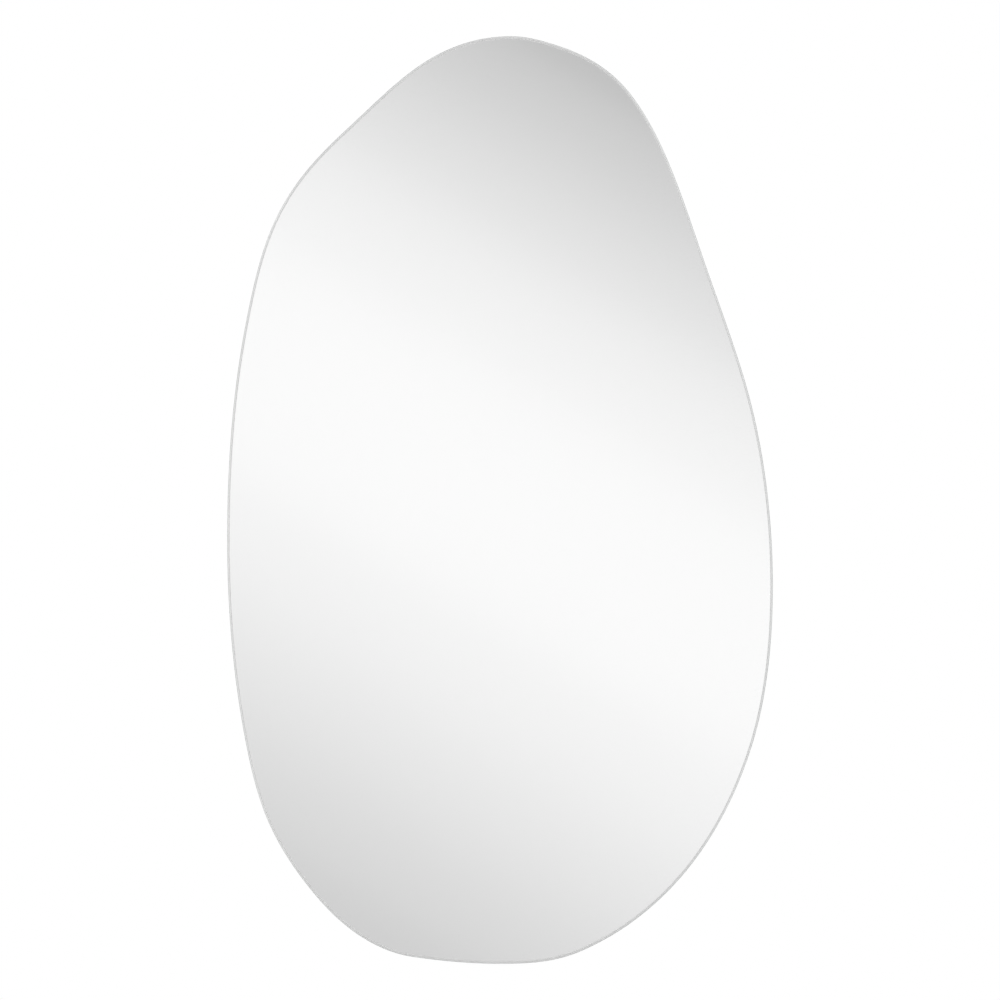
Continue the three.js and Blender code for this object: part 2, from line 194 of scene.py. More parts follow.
# %% [markdown]
# Four kinds of ray ask the world for light. The camera's own rays get plain white, the picture's
# background. Rays that passed through glass or left a shiny surface get the studio above. All
# others, which light the matt surfaces, get a level grey; the lamps add the rest, so that a
# colour renders about as written.

# %% World: which ray sees what
AMBIENT = 0.6
rays = studio.add("ShaderNodeLightPath").outputs
seen_by_metal = studio.blend(rays["Is Glossy Ray"], AMBIENT, for_metal)
seen_by_things = studio.blend(rays["Is Transmission Ray"], seen_by_metal, for_glass)
seen_by_all = studio.blend(rays["Is Camera Ray"], seen_by_things, 1.0)
background = studio.add("ShaderNodeBackground", fill={"Color": seen_by_all, "Strength": 1.0})
output = studio.add("ShaderNodeOutputWorld")
studio.join(background.outputs[0], output.inputs["Surface"])
print("world nodes", len(world.node_tree.nodes))

# %% [markdown]
# ## Lamps and floor
# Large area lamps give soft shadows. One stands high at the front left, a weaker one at the front
# right, and two light the back, which no photograph shows but which turns into view. They stay
# out of the camera's sight and out of reflections, where the painted studio takes their place.

# %% Soft lamps
def soft_lamp(name, place, size, share):
    """An area lamp aimed at the mirror that adds this share of a plain white's brightness."""
    light = bpy.data.lights.new(name, "AREA")
    light.shape = "DISK"
    light.size = size
    lamp = bpy.data.objects.new(name, light)
    lamp.location = place
    towards = PANE_MIDDLE - lamp.location
    lamp.rotation_euler = towards.to_track_quat("-Z", "Y").to_euler()
    light.energy = share * math.pi**2 * towards.length_squared
    lamp.visible_camera = False
    lamp.visible_glossy = False
    lamp.visible_transmission = False
    scene.collection.objects.link(lamp)
    print(f"{name}: {light.energy:.0f} W at {towards.length:.2f} m")


soft_lamp("lamp_front_left", (-1.7, -2.3, 1.3), 1.6, 0.34)
soft_lamp("lamp_front_right", (2.2, -1.7, 0.2), 1.8, 0.16)
soft_lamp("lamp_back", (1.5, 2.3, 1.2), 1.7, 0.36)
soft_lamp("lamp_back_low", (-2.1, 1.6, -0.1), 1.8, 0.14)

# %% [markdown]
# The mirror hangs on a wall that isn't there, so the floor lies well below it. It is a pale disc
# whose rim fades out, which keeps a hard horizon out of every view and out of the glass.

# %% A pale floor
FLOOR_DROP = 0.8  # below the middle of the mirror
FLOOR_RADIUS = 1.3
FADE = (0.5, 1.25)  # the floor is whole up to the first radius and gone at the second

floor_mesh = bpy.data.meshes.new("floor")
disc = bmesh.new()
bmesh.ops.create_circle(disc, cap_ends=True, segments=96, radius=FLOOR_RADIUS)
disc.to_mesh(floor_mesh)
disc.free()
floor = bpy.data.objects.new("floor", floor_mesh)
floor.location = (PANE_MIDDLE.x, 0, PANE_MIDDLE.z - FLOOR_DROP)
scene.collection.objects.link(floor)

floor_finish = bpy.data.materials.new("pale_floor")
floor_finish.use_nodes = True
pale = Graph(floor_finish.node_tree)
spot = pale.add("ShaderNodeTexCoord").outputs["Object"]
radius = pale.add("ShaderNodeVectorMath", operation="LENGTH", fill={0: spot}).outputs["Value"]
faded = pale.ranged(radius, *FADE, smooth=True)
grain = pale.add("ShaderNodeTexNoise", fill={"Vector": spot, "Scale": 60.0, "Detail": 4.0})
shade = pale.tint(grain.outputs[0], grey(0.80), grey(0.84))
matt = pale.add("ShaderNodeBsdfDiffuse", fill={"Color": shade})
clear = pale.add("ShaderNodeBsdfTransparent")
surface = pale.add("ShaderNodeMixShader", fill={0: faded, 1: matt.outputs[0], 2: clear.outputs[0]})
out = pale.add("ShaderNodeOutputMaterial")
pale.join(surface.outputs[0], out.inputs["Surface"])
floor_mesh.materials.append(floor_finish)
print("floor at", round(floor.location.z, 3))

# %% [markdown]
# ## The outline
# The glass was cut along one smooth closed line. A draughtsman would lay it out with a few anchor
# points and the direction in which the line passes each, and Blender's Bezier curves work the same
# way. The nineteen anchors are those of the CAD model, as shares of the mirror's width and height,
# counter-clockwise from the right. The handle length makes a true arc where both ends turn alike.

# %% Anchors of the cut line
# across, up, heading in degrees as drawn on a square
ANCHORS = [
    (0.5, -0.093, 90), (0.447, 0.132, 117), (0.37, 0.265, 120), (0.236, 0.44, 144),
    (0.105, 0.49, 169), (0.02, 0.5, 180), (-0.141, 0.471, 201), (-0.255, 0.414, 209),
    (-0.418, 0.294, 234), (-0.467, 0.187, 252), (-0.5, -0.043, 270), (-0.474, -0.235, 286),
    (-0.419, -0.354, 309), (-0.337, -0.427, 325), (-0.16, -0.4925, 355), (0, -0.5, 0),
    (0.146, -0.487, 14), (0.325, -0.411, 33), (0.459, -0.27, 61),
]
PANE_WIDTH = PANE_HIGH.x - PANE_LOW.x
PANE_HEIGHT = PANE_HIGH.z - PANE_LOW.z


def to_size(point):
    """A point on the unit square, in metres on the mirror's face."""
    return Vector((point.x * PANE_WIDTH + PANE_MIDDLE.x, point.y * PANE_HEIGHT + PANE_MIDDLE.z))


def heading(degrees):
    return Vector((math.cos(math.radians(degrees)), math.sin(math.radians(degrees))))


print("anchors", len(ANCHORS), "size in mm", round(PANE_WIDTH / MM, 2), round(PANE_HEIGHT / MM, 2))

# %% Walk along the cut line
def stretch(start, end, steps):
    """Points from one anchor towards the next, the last one left out."""
    first, last = Vector(start[:2]), Vector(end[:2])
    chord = last - first
    leaves, arrives = heading(start[2]), heading(end[2])
    reach = [2 * chord.length / (3 * (1 + chord.normalized().dot(way))) for way in (leaves, arrives)]
    knots = [first, first + leaves * reach[0], last - arrives * reach[1], last]
    return interpolate_bezier(*[to_size(knot) for knot in knots], steps + 1)[:-1]


def cut_line(steps):
    """The whole outline as (x, z) points."""
    ends = ANCHORS[1:] + ANCHORS[:1]
    return [Vector(p[:2]) for start, end in zip(ANCHORS, ends) for p in stretch(start, end, steps)]


def outward_ways(line):
    """The direction straight out of the outline at each of its points."""
    count = len(line)
    steps = [(line[(i + 1) % count] - line[i - 1]).normalized() for i in range(count)]
    return [Vector((step.y, -step.x)) for step in steps]


STEPS_PER_STRETCH = 36
LINE = cut_line(STEPS_PER_STRETCH)
OUTWARD = outward_ways(LINE)


def inset_line(inset):
    """The outline drawn in by a distance."""
    return [point - way * inset for point, way in zip(LINE, OUTWARD)]


SAME_DEPTH = 0.05 * MM  # depths closer than this count as one
cad_rim = [v.co for v in frame["nodes"]["glass_pane"].data.vertices]
widest = [Vector((v.x, v.z)) for v in cad_rim if abs(v.y - PANE_MIDDLE.y) < SAME_DEPTH]
checked = widest[::24]  # enough of them to show how well the two agree
gap = max(min((point - spot).length for point in LINE) for spot in checked)
print(f"{len(LINE)} points; the CAD rim lies within {gap / MM:.2f} mm of them")

# %% [markdown]
# ## Helpers for making pieces
# Most pieces are stacks of closed loops skinned into a solid, so one helper does that: `rings` is a
# list of loops of points, each joined to the next by a band of four-sided faces, with a face over
# each end. Another helper turns a finished mesh into a piece that rides on a body of the CAD model
# and takes the place of the CAD node that it refines.

# %% Skin a stack of loops
def skinned(name, rings, closed=False):
    """A mesh over loops of equal length. closed joins the last to the first, as on a ring."""
    skin = bmesh.new()
    loops = [[skin.verts.new(point) for point in ring] for ring in rings]
    pairs = list(zip(loops, loops[1:]))
    if closed:
        pairs.append((loops[-1], loops[0]))
    for lower, upper in pairs:
        count = len(lower)
        for i in range(count):
            j = (i + 1) % count
            skin.faces.new((lower[i], lower[j], upper[j], upper[i]))
    if not closed:
        skin.faces.new(loops[0])
        skin.faces.new(loops[-1])
    bmesh.ops.recalc_face_normals(skin, faces=skin.faces)
    mesh = bpy.data.meshes.new(name)
    skin.to_mesh(mesh)
    skin.free()
    return mesh


def softened(mesh, angle=35):
    """Smooth shading, with edges kept sharp where faces meet at more than that angle."""
    mesh.shade_smooth()
    mesh.set_sharp_from_angle(angle=math.radians(angle))
    return mesh


def flat_loop(line, y):
    """Outline points (x, z) as points in space at that depth."""
    return [Vector((point.x, y, point.y)) for point in line]


def turned_ring(spot, y, radii, turns):
    """Points round an axis square to the wall, each at its own radius and angle."""
    return [Vector((spot.x + r * math.cos(t), y, spot.z + r * math.sin(t))) for r, t in zip(radii, turns)]


print("skin helper ready")

# %% Turn a mesh into a piece
def piece_from(mesh, finishes, body, slot, *nodes):
    """An object for the mesh, with its finishes, riding on a body in place of CAD nodes."""
    piece = bpy.data.objects.new(mesh.name, mesh)
    scene.collection.objects.link(piece)
    for finish in finishes:
        mesh.materials.append(finish)
    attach(piece, body)
    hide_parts(*nodes)
    print(f"{piece.name}: {len(mesh.vertices)} points, {len(mesh.polygons)} faces, on {body}")
    return piece


def rounded(corners, radius, steps=4):
    """A bent line of 2-D points with every inner corner rounded off."""
    line = [Vector(corners[0])]
    for before, corner, after in zip(corners, corners[1:], corners[2:]):
        corner = Vector(corner)
        back, on = (Vector(before) - corner), (Vector(after) - corner)
        cut = radius * math.tan((math.pi - back.angle(on)) / 2)
        start, end = corner + back.normalized() * cut, corner + on.normalized() * cut
        for step in range(steps + 1):
            t = step / steps
            line.append((1 - t) ** 2 * start + 2 * t * (1 - t) * corner + t**2 * end)
    line.append(Vector(corners[-1]))
    return line


print("piece helpers ready")

# %% [markdown]
# ## Finishes begin with a shader and a place
# Each finish is one Principled shader, whose colour, roughness and bump come from textures laid out
# in the object's own coordinates. Those are metres here, so a scale of 1000 means one cell for
# each millimetre. The first helper below starts a finish and hands back its graph, its shader and
# that place. The others lead a texture to the shader's colour, roughness or normal: `bump` turns a
# height in metres into small changes of the normal.

# %% Start a finish
def new_finish(name, **plain):
    """A material with its graph, its Principled shader and the object coordinates."""
    finish = bpy.data.materials.new(name)
    finish.use_nodes = True
    graph = Graph(finish.node_tree)
    shader = graph.add("ShaderNodeBsdfPrincipled")
    for socket, value in plain.items():
        shader.inputs[socket.replace("_", " ").title().replace("Ior", "IOR")].default_value = value
    out = graph.add("ShaderNodeOutputMaterial")
    graph.join(shader.outputs[0], out.inputs["Surface"])
    place = graph.add("ShaderNodeTexCoord").outputs["Object"]
    return finish, graph, shader.inputs, place


def noise(graph, place, cells_per_mm, detail=3.0, stretch=(1, 1, 1), roughness=0.5):
    """Cloudy noise with its cells measured in millimetres, drawn out along an axis if asked."""
    laid = graph.add("ShaderNodeMapping", fill={"Vector": place, "Scale": stretch}).outputs[0]
    fill = {"Vector": laid, "Scale": cells_per_mm / MM, "Detail": detail, "Roughness": roughness}
    return graph.add("ShaderNodeTexNoise", fill=fill).outputs[0]


def coloured(graph, shader, share, first, second):
    """A base colour that drifts between two colours, each as red, green and blue."""
    graph.join(graph.tint(share, (*first, 1), (*second, 1)), shader["Base Color"])


def roughened(graph, shader, value, span, roughness):
    """A roughness that follows a texture: over that span of its values, between those two."""
    graph.join(graph.ranged(value, *span, *roughness), shader["Roughness"])


def bump(graph, shader, height, depth):
    """Bumps from a 0 to 1 height, this many metres deep."""
    fill = {"Strength": 1.0, "Distance": depth, "Height": height}
    graph.join(graph.add("ShaderNodeBump", fill=fill).outputs[0], shader["Normal"])


print("finish helpers ready")

# %% [markdown]
# ## The glass pane
# The pane is 5 mm float glass. A grinding wheel gave its edge a shallow arc and polished it, which is
# the thin light line all round the photograph. How far the arc bulges is read off the CAD pane: it
# is the step from the rim in to the flat front. We draw the arc as nineteen loops from the back to
# the front, each the outline drawn in by the right amount. The arc meets both flats at a faint
# corner, so the edges there stay sharp, and the flats are shaded perfectly even up to it.

# %% Shape of the pane
FRONT, BACK = PANE_LOW.y, PANE_HIGH.y
HALF_THICKNESS = (BACK - FRONT) / 2
EDGE_CROWN = min(v.x for v in cad_rim if abs(v.y - FRONT) < SAME_DEPTH) - PANE_LOW.x
EDGE_HALF_TURN = 2 * math.atan2(EDGE_CROWN, HALF_THICKNESS)
EDGE_RADIUS = HALF_THICKNESS / math.sin(EDGE_HALF_TURN)
EDGE_STEPS = 18
EDGE_CORNER = 12  # degrees: one step of the arc turns less than this, its corners with the flats more


def pane_rings():
    rings = []
    for step in range(EDGE_STEPS + 1):
        turn = EDGE_HALF_TURN * (1 - 2 * step / EDGE_STEPS)
        depth = PANE_MIDDLE.y + EDGE_RADIUS * math.sin(turn)
        rings.append(flat_loop(inset_line(EDGE_RADIUS * (1 - math.cos(turn))), depth))
    return rings


pane_mesh = softened(skinned("polished_glass", pane_rings()), EDGE_CORNER)
print("the edge bulges by", round(EDGE_CROWN / MM, 2), "mm on a radius of", round(EDGE_RADIUS / MM, 2))

# %% [markdown]
# Clear glass is a Principled shader with Transmission at 1 and the index of float glass. The tint
# is almost nothing, because the light crosses only 5 mm twice. The ground edge is polished last
# and never as well as the faces: under a glass its surface has fine lines along the edge and it
# scatters some light, so it looks light grey and even where the faces look like mirror. It gets a
# finish of its own, on the faces that curve.

# %% Finish: clear float glass
GLASS_INDEX = 1.52
clear_glass, graph, shader, place = new_finish(
    "clear_glass", transmission_weight=1.0, ior=GLASS_INDEX, base_color=(0.990, 0.991, 0.990, 1)
)
wipe_marks = noise(graph, place, 0.02, detail=6.0, stretch=(1, 1, 3))
roughened(graph, shader, wipe_marks, (0.45, 0.8), (0.0, 0.012))
print("clear glass ready")

# %% Finish: ground and polished edge
edge_glass, graph, shader, place = new_finish(
    "polished_edge", transmission_weight=0.6, ior=GLASS_INDEX, base_color=(0.93, 0.93, 0.93, 1)
)
cloud = noise(graph, place, 0.05, detail=4.0)
coloured(graph, shader, cloud, (0.870, 0.873, 0.871), (0.900, 0.902, 0.901))
polish = noise(graph, place, 0.12, detail=3.0)
roughened(graph, shader, polish, (0.3, 0.7), (0.09, 0.15))
wheel_lines = noise(graph, place, 0.8, detail=2.0, stretch=(0.05, 4, 0.05))
bump(graph, shader, wheel_lines, 0.01 * MM)
print("polished edge ready")

# %% Put the pane together
DEAD_FLAT = 0.9999  # how squarely a face of the two flats looks along Y
for face in pane_mesh.polygons:
    face.material_index = 0 if abs(face.normal.y) > DEAD_FLAT else 1
piece_from(pane_mesh, [clear_glass, edge_glass], "mirror", "glass", "glass_pane")
print("faces on the edge", sum(face.material_index for face in pane_mesh.polygons))

# %% [markdown]
# ## Silver and its paint
# On the back of the glass lies a film of silver far thinner than a hair, under two coats of grey
# paint that protect it. The CAD model gives both together as one thin layer that stops just short
# of the curved edge. Its front is the reflecting silver. Its back is the paint, and shows as a
# narrow grey border when the mirror is turned round. The front is set a twentieth of a millimetre
# into the glass: there is no air between silver and glass, and two faces at exactly the same depth
# would flicker.

# %% Shape of the coating
SEATED = 0.05 * MM
layer_low, layer_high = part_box("silver_coating")
COATING_INSET = layer_low.x - PANE_LOW.x
coating_mesh = skinned(
    "silver_layer",
    [
        flat_loop(inset_line(COATING_INSET), layer_low.y - SEATED),
        flat_loop(inset_line(COATING_INSET), layer_high.y),
    ],
)
softened(coating_mesh)
print("coating set in by", round(COATING_INSET / MM, 2), "mm")

# %% Finish: silver
silver, graph, shader, place = new_finish("silver", metallic=1.0, roughness=0.0)
mist = noise(graph, place, 0.008, detail=5.0)
coloured(graph, shader, mist, (0.972, 0.972, 0.972), (0.978, 0.978, 0.978))
print("silver ready")

# %% Finish: grey backing paint
back_paint, graph, shader, place = new_finish("back_paint", specular_ior_level=0.4)
curtain = noise(graph, place, 0.03, detail=4.0, stretch=(1, 1, 6))
coloured(graph, shader, curtain, (0.22, 0.245, 0.255), (0.27, 0.29, 0.30))
peel = noise(graph, place, 0.8, detail=2.0)
roughened(graph, shader, peel, (0.2, 0.8), (0.38, 0.52))
bump(graph, shader, peel, 0.02 * MM)
print("backing paint ready")

# %% Put the coating together
for face in coating_mesh.polygons:
    face.material_index = 0 if face.normal.y < -DEAD_FLAT else 1
piece_from(coating_mesh, [silver, back_paint], "mirror", "silver", "silver_coating")

# %% [markdown]
# ## Safety film
# If the glass breaks, this film holds the pieces together. It is a thin plastic sheet with a mesh
# of threads in it, stuck over the paint and trimmed a little short of it. Its look comes from two
# sets of lines that cross, one thread every few millimetres, raised a little where a thread runs,
# and from faint wrinkles where it was rolled on.

# %% Shape of the film
film_low, film_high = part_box("safety_film")
FILM_INSET = film_low.x - PANE_LOW.x
film_mesh = skinned(
    "safety_sheet",
    [flat_loop(inset_line(FILM_INSET), y) for y in (film_low.y, film_high.y)],
)
softened(film_mesh)
print("film set in by", round(FILM_INSET / MM, 2), "mm")

# %% Finish: threaded film
def threads(graph, position, pitch, width):
    """1 along thin lines this far apart and 0 between them, with soft sides."""
    turns = graph.math("DIVIDE", position, pitch)
    offset = graph.math("ABSOLUTE", graph.math("SUBTRACT", graph.math("FRACT", turns), 0.5))
    return graph.ranged(offset, 0.0, width / pitch, 1.0, 0.0, smooth=True)


THREAD_PITCH, THREAD_WIDTH = 3.2 * MM, 0.55 * MM
film_finish, graph, shader, place = new_finish("threaded_film", specular_ior_level=0.5)
waver = noise(graph, place, 0.02, detail=2.0)
shift = graph.math("MULTIPLY", graph.math("SUBTRACT", waver, 0.5), 1.5 * MM)
spot = graph.add("ShaderNodeSeparateXYZ", fill={0: place}).outputs
upright = threads(graph, graph.math("ADD", spot["X"], shift), THREAD_PITCH, THREAD_WIDTH)
level = threads(graph, graph.math("ADD", spot["Z"], shift), THREAD_PITCH, THREAD_WIDTH)
net = graph.math("MAXIMUM", upright, level)
tone = noise(graph, place, 0.01, detail=5.0)
ground = graph.tint(tone, (0.56, 0.58, 0.60, 1), (0.62, 0.64, 0.655, 1))
graph.join(graph.tint(net, ground, (0.74, 0.75, 0.76, 1)), shader["Base Color"])
wrinkle = noise(graph, place, 0.04, detail=3.0, stretch=(1, 1, 0.2))
height = graph.math("ADD", graph.math("MULTIPLY", net, 0.35), graph.math("MULTIPLY", wrinkle, 0.65))
roughened(graph, shader, wrinkle, (0.3, 0.7), (0.32, 0.46))
bump(graph, shader, height, 0.22 * MM)
piece_from(film_mesh, [film_finish], "mirror", "film", "safety_film")

# %% [markdown]
# ## Backing board
# A 9 mm fibreboard stiffens the glass and carries the hangers. It keeps 30 mm away from the glass
# edge, so that it can't be seen from the front, and its back edge is bevelled. A real board has no
# knife edges: each corner of its section gets a small round. The pilot holes for the four screws
# are cut with Boolean modifiers, which is how a drill would be copied in Blender.

# %% Section of the board
board_low, board_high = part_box("backing_board")
BOARD_INSET = board_low.x - PANE_LOW.x
BEVEL = 3 * MM
BOARD_ROUND = 0.6 * MM
BOARD_CORNERS = [
    (BOARD_INSET + BEVEL, board_high.y), (BOARD_INSET, board_high.y - BEVEL), (BOARD_INSET, board_low.y)
]
INWARD = BOARD_INSET + 8 * MM  # where the section is well inside both flats
section = rounded([(INWARD, board_high.y), *BOARD_CORNERS, (INWARD, board_low.y)], BOARD_ROUND)
board_mesh = skinned("black_board", [flat_loop(inset_line(inset), y) for inset, y in section])
print("board set in by", round(BOARD_INSET / MM, 2), "mm, section points", len(section))

# %% Tools for cutting
DRILL_SIDES = 48


def upright_drill(x, z, radius, y_from, y_to):
    """A round cutter square to the wall."""
    drill = bmesh.new()
    turned_over = Matrix.Rotation(math.radians(90), 4, "X")
    bmesh.ops.create_cone(
        drill, cap_ends=True, segments=DRILL_SIDES, radius1=radius, radius2=radius,
        depth=abs(y_to - y_from), matrix=Matrix.Translation((x, (y_from + y_to) / 2, z)) @ turned_over,
    )
    mesh = bpy.data.meshes.new("drill")
    drill.to_mesh(mesh)
    drill.free()
    return mesh


def worked(mesh, tools, operation="DIFFERENCE"):
    """The mesh after cutting it with each tool, as a plain mesh again."""
    blank = bpy.data.objects.new("blank", mesh)
    helpers = [bpy.data.objects.new("tool", tool) for tool in tools]
    for item in [blank, *helpers]:
        scene.collection.objects.link(item)
    for item in helpers:
        step = blank.modifiers.new("cut", "BOOLEAN")
        step.operation, step.solver, step.object = operation, "EXACT", item
    bpy.context.view_layer.update()
    result = bpy.data.meshes.new_from_object(blank.evaluated_get(bpy.context.evaluated_depsgraph_get()))
    name = mesh.name
    for item in [blank, *helpers]:
        bpy.data.objects.remove(item)
    for used in [mesh, *tools]:
        bpy.data.meshes.remove(used)
    result.name = name
    return result


print("cutting tools ready")

# %% Drill the board
SIDES = ("left", "right")
LEVELS = ("upper", "lower")
SCREWS = [f"hanger_screw_{side}_{level}" for side in SIDES for level in LEVELS]
SCREW_PLACES = {name: sum(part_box(name), Vector()) / 2 for name in SCREWS}
PILOT_RADIUS = 1.9 * MM
PILOT_FLOOR = board_low.y + 1.2 * MM
PILOT_START = board_high.y + 2 * MM  # clear of the board

pilots = [
    upright_drill(spot.x, spot.z, PILOT_RADIUS, PILOT_FLOOR, PILOT_START)
    for spot in SCREW_PLACES.values()
]
board_mesh = softened(worked(board_mesh, pilots), 30)
print("pilot holes", len(pilots), "faces", len(board_mesh.polygons))

# %% [markdown]
# The board is rolled with matt black paint. Three layers make it: a fine stipple from the roller, a
# few fibres of the board that stand up under the paint, and a dusty greyness that drifts across
# it. Along the corners the paint has rubbed thin, and the brown board shows. For that the mesh
# carries an attribute, `arris`, which is 1 on the rounded corners and fades out beside them.

# %% Mark the corners of the board
def mark_arris(mesh, corners, reach):
    """Stores how near each point is to the section's corners, from 1 on them to 0 at reach."""
    values = []
    for vertex in mesh.vertices:
        spot = Vector((vertex.co.x, vertex.co.z))
        point, way = min(zip(LINE, OUTWARD), key=lambda pair: (pair[0] - spot).length_squared)
        inset = (point - spot).dot(way)
        nearest = min((Vector((inset, vertex.co.y)) - Vector(corner)).length for corner in corners)
        values.append(max(0.0, 1 - nearest / reach))
    mesh.attributes.new("arris", "FLOAT", "POINT").data.foreach_set("value", values)
    print("points on the corners", sum(value > 0.5 for value in values))


mark_arris(board_mesh, BOARD_CORNERS, 2 * BOARD_ROUND)

# %% Finish: rolled black paint
black_paint, graph, shader, place = new_finish("rolled_black_paint", specular_ior_level=0.5)
dust = noise(graph, place, 0.006, detail=6.0, roughness=0.6)
coat = graph.tint(graph.ranged(dust, 0.35, 0.75), (0.016, 0.016, 0.017, 1), (0.034, 0.034, 0.035, 1))
arris = graph.add("ShaderNodeAttribute", attribute_name="arris").outputs["Fac"]
chips = graph.ranged(noise(graph, place, 0.16, detail=8.0, roughness=0.75), 0.54, 0.66)
bare = graph.math("MULTIPLY", graph.ranged(arris, 0.72, 1.0), chips)
graph.join(graph.tint(bare, coat, (0.15, 0.115, 0.085, 1)), shader["Base Color"])
stipple = noise(graph, place, 1.1, detail=3.0, roughness=0.6)
fibres = noise(graph, place, 0.5, detail=2.0, stretch=(0.4, 1, 3))
texture = graph.math("ADD", graph.math("MULTIPLY", stipple, 0.7), graph.math("MULTIPLY", fibres, 0.3))
roughened(graph, shader, stipple, (0.25, 0.75), (0.40, 0.62))
bump(graph, shader, texture, 0.4 * MM)
piece_from(board_mesh, [black_paint], "mirror", "board", "backing_board")

# %% [markdown]
# ## Tape and adhesive
# Strips of double-sided foam tape hold the board while the beads of adhesive between them cure.
# Pressed to a millimetre, both bulge at their sides. Each is a stack of loops that swells towards
# the middle of its thickness. The adhesive was squeezed out by hand, so its sides wander a little.

# %% Outline of a strip
SIDE_STEPS = 120  # along a side that wanders


def swayed(z, middle):
    """How far, from -1 to 1, a hand-laid side strays at that height."""
    return (math.sin(z * 310) + 0.6 * math.sin(z * 790 + middle * 50)) / 1.6


def strip_line(low, high, end_steps, wander=0.0):
    """The outline of an upright strip from its box, with round ends if it has end steps."""
    half, middle = (high.x - low.x) / 2, (low.x + high.x) / 2
    if not end_steps:
        return [Vector(p) for p in ((low.x, low.z), (high.x, low.z), (high.x, high.z), (low.x, high.z))]
    bottom, top = low.z + half, high.z - half
    line = []
    for centre, start in ((bottom, math.pi), (top, 0.0)):
        for step in range(end_steps + 1):
            turn = start + math.pi * step / end_steps
            line.append(Vector((middle + half * math.cos(turn), centre + half * math.sin(turn))))
        rise = (top - bottom) if centre == bottom else (bottom - top)
        side = line[-1]
        for step in range(1, SIDE_STEPS):
            z = side.y + rise * step / SIDE_STEPS
            sway = wander * swayed(z, middle)
            line.append(Vector((side.x + sway - math.copysign(wander, side.x - middle), z)))
    return line


print("strip outline ready")

# %% Shape of a pressed strip
SWELL_STEPS = 6  # from the film to the board


def pressed_strip(name, node, bulge, end_steps=0, wander=0.0):
    """A strip between film and board whose sides swell outwards by the bulge."""
    low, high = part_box(node)
    line = strip_line(low, high, end_steps, wander)
    centre = Vector(((low.x + high.x) / 2, (low.z + high.z) / 2))
    rings = []
    for step in range(SWELL_STEPS + 1):
        t = step / SWELL_STEPS
        draw_in = bulge * (1 - math.sin(math.pi * t))
        ring = [point - Vector((math.copysign(draw_in, point.x - centre.x), 0)) for point in line]
        rings.append(flat_loop(ring, low.y + (high.y - low.y) * t))
    return softened(skinned(name, rings), 50)


print("strip helper ready")

# %% Finish: foam tape
foam, graph, shader, place = new_finish("foam_tape", specular_ior_level=0.3)
cells = graph.add("ShaderNodeTexVoronoi", fill={"Vector": place, "Scale": 4 / MM}).outputs["Distance"]
coloured(graph, shader, cells, (0.62, 0.62, 0.60), (0.82, 0.82, 0.80))
roughened(graph, shader, cells, (0.0, 0.6), (0.9, 0.7))
bump(graph, shader, cells, 0.08 * MM)
for number in range(1, 5):
    node = f"mounting_tape_{number}"
    strip = pressed_strip(f"foam_strip_{number}", node, 0.18 * MM)
    piece_from(strip, [foam], "mirror", "foam_tape", node)

# %% Finish: cured adhesive
mastic, graph, shader, place = new_finish("cured_adhesive", specular_ior_level=0.5)
blotch = noise(graph, place, 0.06, detail=4.0)
coloured(graph, shader, blotch, (0.60, 0.57, 0.49), (0.70, 0.68, 0.61))
skin = noise(graph, place, 0.7, detail=3.0, stretch=(1, 1, 0.3))
roughened(graph, shader, skin, (0.3, 0.7), (0.28, 0.48))
bump(graph, shader, skin, 0.1 * MM)
for number in range(1, 4):
    node = f"adhesive_bead_{number}"
    bead = pressed_strip(f"glue_bead_{number}", node, 0.3 * MM, end_steps=16, wander=0.5 * MM)
    piece_from(bead, [mastic], "mirror", "adhesive", node)

# %% [markdown]
# ## Hanger straps
# Each hanger is a strip of 1 mm steel, folded round the straight bar of its ring and back over
# itself, so that two layers lie on the board. We draw the fold once, seen from the side, push it
# across to the width of the strip, and trim it with a second outline that rounds the lower end.
# Then the screw holes are drilled, and a fine bevel breaks the sheared edges, as tumbling does.

# %% The fold, seen from the side
PIVOTS = {joint["child"]: Vector(joint["pos_m"]) for joint in frame["joints"]}
HANGER_X = {side: PIVOTS[f"ring_{side}"].x for side in SIDES}
PIVOT_Y, PIVOT_Z = PIVOTS["ring_left"].yz
WIRE_RADIUS = 1.5 * MM
LOOP_RADIUS = WIRE_RADIUS + 0.3 * MM  # the bar turns with this much play
LOOP_STEPS = 30
SHEET = 1 * MM
STRAP_WIDTH = 16 * MM
STRAP_LENGTH = 36 * MM  # from the ring's bar to the lower end
CLEAR = 1 * MM  # how far a cutter passes the metal
UNTRIMMED = -STRAP_LENGTH - CLEAR


def arc(radius, start, end, steps):
    """Points on a circle round the loop's axis, angles in degrees, as (depth, height)."""
    turns = [math.radians(start + (end - start) * step / steps) for step in range(steps + 1)]
    return [(radius * math.cos(turn), radius * math.sin(turn)) for turn in turns]


def fold_line():
    """The folded strip's section round the loop's axis: the layer on the board, loop, outer layer."""
    outer = LOOP_RADIUS + SHEET
    inner_layer = -LOOP_RADIUS + 0.2 * MM  # this clear of the layer on the board
    outer_layer = inner_layer + SHEET
    ramp = math.radians(45)

    def ramp_end(radius, layer):
        return -radius * math.sin(ramp) - (radius * math.cos(ramp) - layer) / math.tan(ramp)

    return [
        (-outer, UNTRIMMED),
        *arc(outer, 180, -45, LOOP_STEPS),
        (outer_layer, ramp_end(outer, outer_layer)),
        (outer_layer, UNTRIMMED),
        (inner_layer, UNTRIMMED),
        (inner_layer, ramp_end(LOOP_RADIUS, inner_layer)),
        *arc(LOOP_RADIUS, -45, 180, LOOP_STEPS),
        (-LOOP_RADIUS, UNTRIMMED),
    ]


print("points in the fold", len(fold_line()))
print("left pivot in mm", [round(v / MM, 2) for v in PIVOTS["ring_left"]])

